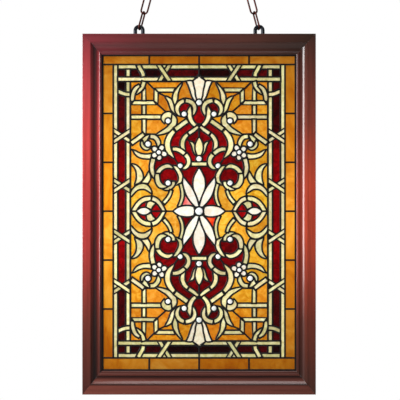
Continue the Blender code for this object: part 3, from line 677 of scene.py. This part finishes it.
def cut_panes():
    """Every pane of the panel inside its border: its kind, and its outline between the leads."""
    outlines = [bar(-BORDER_X, -BORDER_Z, BORDER_X, BORDER_Z)]
    meaning = [None]
    for k, (kind, seen, cover) in enumerate(pieces):
        for across, up in QUARTERS:
            if seen:
                outlines.append(mirrored(seen, across, up))
                meaning.append((k, True))
            outlines.append(mirrored(cover, across, up))
            meaning.append((k, False))
    points, triangles, covers = arrange(outlines)
    kept, labels = [], []
    for triangle, cover in zip(triangles, covers):
        if 0 not in cover:
            continue
        tops = [meaning[i] for i in cover if i]
        top = max((k for k, seen in tops if not seen), default=-1)
        if top >= 0 and (top, True) not in tops:
            continue
        kept.append(triangle)
        labels.append(top)
    panes = []
    for label, patch in patches_of(kept, labels):
        loop = straighten(tidy([points[i] for i in loop_round(patch)]), OUTLINE_SLACK)
        edge = sum((a - b).length for a, b in zip(loop, loop[1:] + loop[:1]))
        if len(loop) > 2 and 2 * area(loop) / edge > SMALLEST_PANE:
            kind = pieces[label][0]
            if label < 0:
                biggest = max(patch, key=lambda t: area([points[i] for i in t]))
                spot = sum((points[i] for i in biggest), Vector((0, 0))) / 3
                side = (1 if spot.x > 0 else -1, 1 if spot.y > 0 else -1)
                spot = Vector((abs(spot.x), abs(spot.y)))
                kind = next((name for name, ground in GROUNDS if holds(ground, spot)), "amber")
                kind = ROSETTE_REDS[side] if kind == "beside_rosette" else kind
            panes.append((kind, loop))
    return panes


panes = cut_panes()

# The panes are opalescent glass, 3 mm thick: cream and straw straps, an amber ground, and reds
# round the rosette and in the band. Painted shade darkens the sheets towards the panel's ends, and
# the scarlet panes are darker in the lower half. Their edges sit in the leads.
GLASS_FACE = 0.0015
UNDER_LEAD = 0.34 * LEAD
tones = random.Random(4)


def opal_glass(name, dark, middle, light, ends, end_shade_span, cloud=60.0, streak=(1, 1, 1), toned=True):
    """Opalescent glass with clouds or streaks, painted shade darkening it towards the panel's ends, with a
    tone for each pane.
    """
    material, nodes, links, shader, place = plain_shader(name, 0.15)
    clouds = noise(nodes, links, place, streak, cloud, 4, 1.2)
    colour = ramp(nodes, links, clouds, [(0.32, dark), (0.52, middle), (0.72, light)])
    split = nodes.new("ShaderNodeSeparateXYZ")
    links.new(place, split.inputs["Vector"])
    # Painted shade: the colour darkens from the middle of the panel towards its top and bottom ends.
    for start, end in (end_shade_span, (-end_shade_span[0], -end_shade_span[1])):
        away = spread(nodes, links, split.outputs["Z"], 0, 1, PANEL_MIDDLE + start, PANEL_MIDDLE + end)
        colour = multiply(nodes, links, colour, ramp(nodes, links, away, [(0, (1, 1, 1)), (1, ends)]))
    if toned:
        tone = nodes.new("ShaderNodeAttribute")
        tone.attribute_name = "pane_tone"
        colour = multiply(nodes, links, colour, tone.outputs["Color"])
    links.new(colour, shader.inputs["Base Color"])
    ripple = noise(nodes, links, place, (1, 1, 1), 260, 2)
    links.new(spread(nodes, links, ripple, 0.12, 0.26), shader.inputs["Roughness"])
    bumps(nodes, links, shader, ripple, 0.2, 0.0005)
    shader.inputs["Specular IOR Level"].default_value = 0.15
    shader.inputs["Subsurface Weight"].default_value = 0.5
    shader.inputs["Subsurface Radius"].default_value = (1, 0.8, 0.7)
    shader.inputs["Subsurface Scale"].default_value = 0.003
    return material


# The last two values of each glass set the painted shade towards the panel's ends.
glasses = {
    "cream": opal_glass("cream_opal", paint(218, 206, 146), paint(239, 229, 174), paint(253, 249, 208),
                        (0.76, 0.77, 0.66), (0.2, 0.36)),
    "straw": opal_glass("straw_opal", paint(233, 214, 148), paint(246, 232, 176), paint(254, 246, 204),
                        (0.8, 0.8, 0.7), (0.2, 0.36)),
    "white": opal_glass("white_opal", paint(238, 226, 203), paint(248, 241, 226), paint(254, 250, 240),
                        (0.83, 0.8, 0.66), (0.1, 0.36)),
    "amber": opal_glass("amber_opal", paint(224, 146, 25), paint(243, 182, 51), paint(252, 208, 86),
                        (0.7, 0.49, 0.27), (0.04, 0.27)),
    "scarlet": opal_glass("scarlet_glass", paint(112, 0, 5), paint(148, 2, 8), paint(184, 10, 14),
                          (0.36, 0.3, 0.3), (0.14, 0.36)),
    "vermilion": opal_glass("vermilion_glass", paint(222, 32, 16), paint(240, 74, 30), paint(252, 120, 50),
                            (1, 1, 1), (0.2, 0.36)),
    "ruby": opal_glass("ruby_glass", paint(122, 0, 4), paint(160, 3, 7), paint(188, 10, 14),
                       (1, 1, 1), (0.2, 0.36)),
    "band_ruby": opal_glass("band_ruby_glass", paint(118, 0, 3), paint(150, 2, 6), paint(176, 6, 11),
                            (0.58, 0.58, 0.58), (0.07, 0.16)),
    "deep_ruby": opal_glass("deep_ruby_glass", paint(60, 2, 4), paint(84, 4, 7), paint(108, 7, 10),
                            (0.7, 0.7, 0.7), (0.16, 0.36)),
    "rose": opal_glass("rose_opal", paint(244, 100, 100), paint(252, 144, 138), paint(255, 188, 174),
                       (1, 1, 1), (0.2, 0.36)),
}
TONES = {"band_ruby": (0.2, 1.0), "deep_ruby": (0.1, 0.95), "scarlet": (0.5, 1.05), "amber": (0.76, 1.06),
         "cream": (0.74, 1.02)}
USUAL_TONE = (0.86, 1.0)
DRIFTS = {"amber": 0.1, "white": 0.01}
USUAL_DRIFT = 0.03
LOWER_REDS = 0.62


def in_place(p, y):
    """A point of the drawing at its place in the panel."""
    return Vector((p.x * SQUARE, y, PANEL_MIDDLE + p.y * SQUARE))


def cut_glass(name, outlines, kinds, nodes):
    """Panes with the outlines, each of its kind of glass and with its own tone."""
    bm = bmesh.new()
    tone = bm.verts.layers.float_color.new("pane_tone")
    names = sorted(set(kinds))
    for outline, kind in zip(outlines, kinds):
        shade = tones.uniform(*TONES.get(kind, USUAL_TONE))
        drift = DRIFTS.get(kind, USUAL_DRIFT)
        warmth = tones.uniform(-drift, drift)
        if kind == "scarlet" and sum(p.y for p in outline) < 0:
            shade *= LOWER_REDS
        loop = tidy(grow(outline, UNDER_LEAD), 0.02)
        front = bm.faces.new([bm.verts.new(in_place(p, -GLASS_FACE)) for p in loop])
        front.material_index = names.index(kind)
        moved = bmesh.ops.extrude_face_region(bm, geom=[front])
        rear = [v for v in moved["geom"] if isinstance(v, bmesh.types.BMVert)]
        bmesh.ops.translate(bm, verts=rear, vec=(0, 2 * GLASS_FACE, 0))
        for vert in rear + list(front.verts):
            vert[tone] = (shade, shade * (1 + warmth), shade * (1 - warmth), 1)
    made = made_of(name, bm, *[glasses[kind] for kind in names])
    if nodes:
        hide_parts(*nodes)
    return made


HEROES = ("upright_petal", "slanting_petal", "level_petal", "side_petal", "tulip_petal", "almond")
field, band = [], []
for kind, outline in panes:
    if kind in HEROES or kind in ("gem", "centre_gem"):
        continue
    middle = sum(outline, Vector((0, 0))) / len(outline)
    outside = abs(middle.x) > FIELD_X or abs(middle.y) > FIELD_Z
    (band if outside else field).append((kind, outline))
cut_glass("field_panes", [o for k, o in field], [k for k, o in field], ["field_glass"])
cut_glass("band_panes", [o for k, o in band], [k for k, o in band],
          ["band_glass_upper", "band_glass_lower", "band_glass_left", "band_glass_right"])

# The rosette's petals, the tulips and the almonds are streaky white glass
def hero_panes(name, kinds, nodes):
    """The white panes of some kinds, which stand for solids of their own."""
    chosen = [outline for kind, outline in panes if kind in kinds]
    return cut_glass(name, chosen, ["white"] * len(chosen), nodes)


hero_panes("rosette_petals", HEROES[:3],
           [f"rosette_petal_{place}" for place in ("upper", "lower", "left", "right", "upper_left",
                                                   "upper_right", "lower_left", "lower_right")])
hero_panes("tulip_petals", HEROES[3:5],
           ["tulip_petal_upper", "tulip_petal_lower", "tulip_side_upper_left", "tulip_side_upper_right",
            "tulip_side_lower_left", "tulip_side_lower_right"])
hero_panes("almonds", HEROES[5:], ["almond_left", "almond_right"])

# The jewels are round pressed glass with a domed face, a narrow girdle under the lead and a
# flatter back
JEWEL_RISE = 0.0034
JEWEL_EDGE = 0.0008
JEWEL_BACK = 0.001
DOME_CUTS = 6
SPIN_STEPS = 20
# The jewels too carry painted shade towards the panel's top and bottom ends.
jewel_glass = opal_glass("pressed_glass", paint(214, 220, 216), paint(244, 245, 240), paint(255, 255, 252),
                         (0.6, 0.62, 0.58), (0.2, 0.36), 90, toned=False)
jewel_glass.node_tree.nodes["Principled BSDF"].inputs["Coat Weight"].default_value = 0.6


def jewel(bm, p, radius):
    """One domed jewel, spun from its profile."""
    wide = (radius + UNDER_LEAD) * SQUARE
    profile = [(0.0, -JEWEL_RISE)]
    for i in range(1, DOME_CUTS + 1):
        t = math.pi / 2 * i / DOME_CUTS
        profile.append((wide * 0.9 * math.sin(t), -GLASS_FACE - (JEWEL_RISE - GLASS_FACE) * math.cos(t)))
    profile += [(wide, -GLASS_FACE), (wide, GLASS_FACE), (wide * 0.6, GLASS_FACE + JEWEL_EDGE),
                (0.0, GLASS_FACE + JEWEL_BACK)]
    centre = in_place(p, 0)
    verts = [bm.verts.new(centre + Vector((x, y, 0))) for x, y in profile]
    edges = [bm.edges.new(pair) for pair in zip(verts, verts[1:])]
    bmesh.ops.spin(bm, geom=verts + edges, cent=centre, axis=(0, 1, 0), angle=math.tau,
                   steps=SPIN_STEPS, use_merge=True)


def set_of_jewels(name, spots):
    """Jewels at places of the drawing, each with its radius."""
    bm = bmesh.new()
    for x, z, radius in spots:
        jewel(bm, Vector((x, z)), radius)
    bmesh.ops.remove_doubles(bm, verts=bm.verts, dist=0.00002)
    return made_of(name, bm, jewel_glass)


gem_spots = {(x * across, z * up, radius) for x, z, radius in gems for across, up in QUARTERS}
set_of_jewels("jewels", sorted(gem_spots))
centre_jewel = set_of_jewels("centre_jewel", [(0, 0, CENTRE_GEM)])
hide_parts("rosette_gem")

# The border's tiles are streaky amber glass, cut to plain rectangles from three sheets in turn, with
# painted shade darkening them towards the panel's ends
TILES = 20
border_glasses = [
    opal_glass("border_amber_deep", paint(206, 116, 10), paint(228, 144, 24), paint(242, 166, 46),
               (0.42, 0.36, 0.3), (0.06, 0.37), 26, (1, 1, 0.5), False),
    opal_glass("border_amber", paint(214, 128, 16), paint(234, 156, 34), paint(246, 178, 58),
               (0.42, 0.36, 0.3), (0.06, 0.37), 30, (1, 1, 0.4), False),
    opal_glass("border_amber_pale", paint(216, 134, 22), paint(238, 162, 44), paint(250, 190, 76),
               (0.42, 0.36, 0.3), (0.06, 0.37), 24, (0.6, 1, 1), False),
]
for number in range(1, TILES + 1):
    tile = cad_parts[f"border_tile_{number:02d}"]
    for slot in tile.material_slots:
        slot.material = border_glasses[-number % 3]

# The leads are rounded cames with a dark patina that hold every edge of the glass, on the front
# and on the back. Each crown rises from the glass to the middle of the lead, and stands a little
# higher where solder joins several of them.
LEAD_FOOT = 0.0014
EDGE_FACE = 0.0019
CROWN_FACE = 0.0028
SOLDER_FACE = 0.0031
CROWN_LINES = (0.2, 0.46)
CROWN_SPACING = 0.15
TILE_OVERLAP = 0.36 * LEAD * SQUARE

patina, nodes, links, shader, place = plain_shader("dark_patina", 0.4)
blotch = noise(nodes, links, place, (1, 1, 1), 70, 5)
links.new(ramp(nodes, links, blotch, [(0.3, paint(3, 2, 3)), (0.6, paint(8, 7, 7)),
                                      (0.8, paint(22, 19, 18))]), shader.inputs["Base Color"])
links.new(spread(nodes, links, blotch, 0.3, 0.5), shader.inputs["Roughness"])
shader.inputs["Specular IOR Level"].default_value = 0.3
bumps(nodes, links, shader, noise(nodes, links, place, (1, 1, 1), 520, 3), 0.3, 0.0005)

openings = [outline for kind, outline in panes]
for number in range(1, TILES + 1):
    low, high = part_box(f"border_tile_{number:02d}")
    openings.append(bar((low.x + TILE_OVERLAP) / SQUARE, (low.z + TILE_OVERLAP - PANEL_MIDDLE) / SQUARE,
                        (high.x - TILE_OVERLAP) / SQUARE, (high.z - TILE_OVERLAP - PANEL_MIDDLE) / SQUARE))
crown_lines = [tidy(grow(outline, by), CROWN_SPACING) for outline in openings for by in CROWN_LINES]
whole = bar(-SQUARES_ACROSS, -SQUARES_UP, SQUARES_ACROSS, SQUARES_UP)
net_points, net_triangles, net_covers = arrange([whole] + openings, crown_lines)
net = [t for t, cover in zip(net_triangles, net_covers) if list(cover) == [0]]

edge_spots = []
for outline in openings:
    for a, b in zip(outline, outline[1:] + outline[:1]):
        count = max(1, round((b - a).length / CROWN_SPACING))
        edge_spots += [a.lerp(b, i / count) for i in range(count)]
glass_edges = KDTree(len(edge_spots))
for i, spot in enumerate(edge_spots):
    glass_edges.insert((spot.x, spot.y, 0), i)
glass_edges.balance()


def crown(p):
    """How far the lead's face stands from the middle of the glass at a point."""
    away = glass_edges.find((p.x, p.y, 0))[2] / (LEAD / 2)
    slope = min(away, 1)
    solder = min(max(away - 1, 0), 1)
    return (EDGE_FACE + (CROWN_FACE - EDGE_FACE) * math.sqrt(1 - (1 - slope) ** 2)
            + (SOLDER_FACE - CROWN_FACE) * solder)


def leading(name, node, side):
    """The net of leads on one side of the glass, -1 for the front and 1 for the back."""
    bm = bmesh.new()
    verts = {}
    for triangle in net:
        for i in triangle:
            if i not in verts:
                verts[i] = bm.verts.new(in_place(net_points[i], side * crown(net_points[i])))
        bm.faces.new([verts[i] for i in triangle])
    moved = bmesh.ops.extrude_face_region(bm, geom=list(bm.faces))
    for vert in moved["geom"]:
        if isinstance(vert, bmesh.types.BMVert):
            vert.co.y = side * LEAD_FOOT
    made = made_of(name, bm, patina)
    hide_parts(node)


leading("front_leads", "leading_front", -1)
leading("back_leads", "leading_back", 1)

# Each eyelet is a bar of black steel bent to an arch, whose two legs are driven into the top rail
EYELET_WIRE = 0.0085
EYELET_RADIUS = 0.0085
ARCH_CUTS = 24

black_steel, nodes, links, shader, place = plain_shader("black_steel", 0.25, 0.6)
rubbed = noise(nodes, links, place, (1, 1, 1), 180, 4)
links.new(ramp(nodes, links, rubbed, [(0.35, paint(14, 18, 24)), (0.6, paint(30, 34, 42)),
                                      (0.8, paint(70, 72, 78))]), shader.inputs["Base Color"])
links.new(spread(nodes, links, rubbed, 0.18, 0.4), shader.inputs["Roughness"])


def wire(name, points, width, material, node):
    """A round wire along the points, with flat ends."""
    curve = bpy.data.curves.new(name, "CURVE")
    curve.dimensions = "3D"
    curve.bevel_depth = width / 2
    curve.bevel_resolution = 4
    curve.use_fill_caps = True
    spline = curve.splines.new("POLY")
    spline.points.add(len(points) - 1)
    for point, spot in zip(spline.points, points):
        point.co = (*spot, 1)
    spline.use_smooth = True
    curve.materials.append(material)
    made = bpy.data.objects.new(name, curve)
    bpy.context.scene.collection.objects.link(made)
    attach(made, "root")
    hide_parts(node)


eyelet_spots = {}
for side in ("left", "right"):
    low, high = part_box(f"eyelet_{side}")
    centre = Vector(((low.x + high.x) / 2, 0, high.z - EYELET_RADIUS - EYELET_WIRE / 2))
    arch = []
    for i in range(ARCH_CUTS + 1):
        t = math.pi * i / ARCH_CUTS
        arch.append(centre + EYELET_RADIUS * Vector((math.cos(t), 0, math.sin(t))))
    legs = [Vector((centre.x + sign * EYELET_RADIUS, 0, low.z)) for sign in (1, -1)]
    wire(f"arched_eyelet_{side}", [legs[0]] + arch + [legs[1]], EYELET_WIRE, black_steel, f"eyelet_{side}")
    eyelet_spots[side] = centre

# The chains are oval links of dark reddish bronze wire, each closed by a butt joint, and an S hook
# of the same wire ends each chain. They lean inwards and are a little twisted as they hang.
LINK_LENGTH = 0.045
LINK_WIDTH = 0.0195
CHAIN_WIRE = 0.004
CHAIN_GAP = 0.0003
BUTT_GAP = 0.0002
LEAN = math.radians(15)
TWIST_DEGREES = 18
LINKS = 3
BEND_CUTS = 14
HOOK_CUTS = 18
LINK_PITCH = LINK_LENGTH - 2 * CHAIN_WIRE - CHAIN_GAP
FIRST_BEND = EYELET_RADIUS - EYELET_WIRE / 2 - CHAIN_WIRE / 2 - CHAIN_GAP
HOOK_RADIUS = 0.0065
HOOK_LENGTH = 0.034

bronze, nodes, links, shader, place = plain_shader("dark_bronze", 0.35, 0.85)
wear = noise(nodes, links, place, (1, 1, 1), 240, 5)
links.new(ramp(nodes, links, wear, [(0.3, paint(36, 16, 14)), (0.55, paint(74, 34, 29)),
                                    (0.78, paint(126, 76, 63))]), shader.inputs["Base Color"])
links.new(spread(nodes, links, wear, 0.26, 0.46), shader.inputs["Roughness"])


def link_line(foot, along, across):
    """The middle line of an oval link, from one face of its butt joint to the other."""
    bend = (LINK_WIDTH - CHAIN_WIRE) / 2
    straight = LINK_LENGTH - CHAIN_WIRE - 2 * bend
    middle = bend + straight / 2
    points = [foot + along * (middle - BUTT_GAP / 2) - across * bend]
    for end, sign in ((0, -1), (1, 1)):
        for i in range(BEND_CUTS + 1):
            t = math.pi * i / BEND_CUTS
            up = bend + straight * end + sign * bend * math.sin(t)
            points.append(foot + along * up + sign * across * bend * math.cos(t))
    points.append(foot + along * (middle + BUTT_GAP / 2) - across * bend)
    return points


def hook_line(foot, along, across):
    """The middle line of an S hook from its lower bend to its upper."""
    points = []
    straight = HOOK_LENGTH - CHAIN_WIRE - 2 * HOOK_RADIUS
    for end, start, turn in ((0, 200, 150), (1, 170, -180)):
        for i in range(HOOK_CUTS + 1):
            t = math.radians(start + turn * i / HOOK_CUTS)
            spot = foot + along * (HOOK_RADIUS + straight * end + HOOK_RADIUS * math.sin(t))
            points.append(spot + across * HOOK_RADIUS * math.cos(t))
    return points


for side, sign in (("left", -1), ("right", 1)):
    along = Vector((-sign * math.sin(LEAN), 0, math.cos(LEAN)))
    across = Vector((math.cos(LEAN), 0, sign * math.sin(LEAN)))
    turns = [Matrix.Rotation(math.radians(turn + sign * TWIST_DEGREES), 3, along) for turn in (90, 0)]
    for i in range(LINKS):
        foot = eyelet_spots[side] + along * (FIRST_BEND + i * LINK_PITCH)
        line = link_line(foot, along, turns[i % 2] @ across)
        wire(f"wire_link_{side}_{i + 1}", line, CHAIN_WIRE, bronze, f"chain_link_{side}_{i + 1}")
    foot = eyelet_spots[side] + along * (FIRST_BEND + LINKS * LINK_PITCH)
    wire(f"wire_hook_{side}", hook_line(foot, along, sign * across), CHAIN_WIRE, bronze, f"hook_{side}")

# The studio: a pale floor well below the panel, soft light in front, and light behind the glass
FLOOR_DROP = 0.5
FLOOR_REACH = 3.4
VIEW_ACROSS = 0.9006
CAMERA_DISTANCE = 4.0
AIM_X = 0.0021
AIM_RISE = 0.0317

bm = bmesh.new()
bmesh.ops.create_grid(bm, x_segments=8, y_segments=8, size=FLOOR_REACH,
                      matrix=Matrix.Translation((0, 0, FRAME_BOTTOM - FLOOR_DROP)))
floor_mesh = bpy.data.meshes.new("floor")
bm.to_mesh(floor_mesh)
bm.free()
floor = bpy.data.objects.new("floor", floor_mesh)
bpy.context.scene.collection.objects.link(floor)
pale, nodes, links, shader, place = plain_shader("pale_floor", 0.7)
shader.inputs["Base Color"].default_value = (0.8, 0.8, 0.8, 1)
floor_mesh.materials.append(pale)


def soft_light(name, place, size, power):
    """A square soft light that faces the middle of the frame."""
    data = bpy.data.lights.new(name, "AREA")
    data.size = size
    data.energy = power
    light = bpy.data.objects.new(name, data)
    light.location = place
    light.rotation_euler = (FRAME_MIDDLE - Vector(place)).to_track_quat("-Z", "Y").to_euler()
    light.visible_camera = False
    bpy.context.scene.collection.objects.link(light)


soft_light("key_light", (-1.6, -1.35, FRAME_MIDDLE.z + 0.25), 1.0, 52)
soft_light("fill_light", (1.7, -1.9, FRAME_MIDDLE.z + 0.1), 1.2, 2)
soft_light("top_light", (0.1, -0.8, FRAME_MIDDLE.z + 1.8), 0.9, 14)
world = bpy.data.worlds.new("studio")
world.use_nodes = True
nodes, links = world.node_tree.nodes, world.node_tree.links
split = nodes.new("ShaderNodeSeparateXYZ")
links.new(nodes.new("ShaderNodeTexCoord").outputs["Generated"], split.inputs["Vector"])
links.new(spread(nodes, links, split.outputs["Y"], 0.2, 1.0, 0.0, 0.6),
          nodes["Background"].inputs["Strength"])
nodes["Background"].inputs["Color"].default_value = (1, 1, 1, 1)
bpy.context.scene.world = world
bpy.context.scene.view_settings.view_transform = "Standard"

camera_data = bpy.data.cameras.new("camera")
camera_data.sensor_width = 36
camera_data.lens = 36 * CAMERA_DISTANCE / VIEW_ACROSS
camera = bpy.data.objects.new("camera", camera_data)
camera.location = (FRAME_MIDDLE.x + AIM_X, -CAMERA_DISTANCE, FRAME_MIDDLE.z + AIM_RISE)
camera.rotation_euler = (math.radians(90), 0, 0)
bpy.context.scene.collection.objects.link(camera)
bpy.context.scene.camera = camera
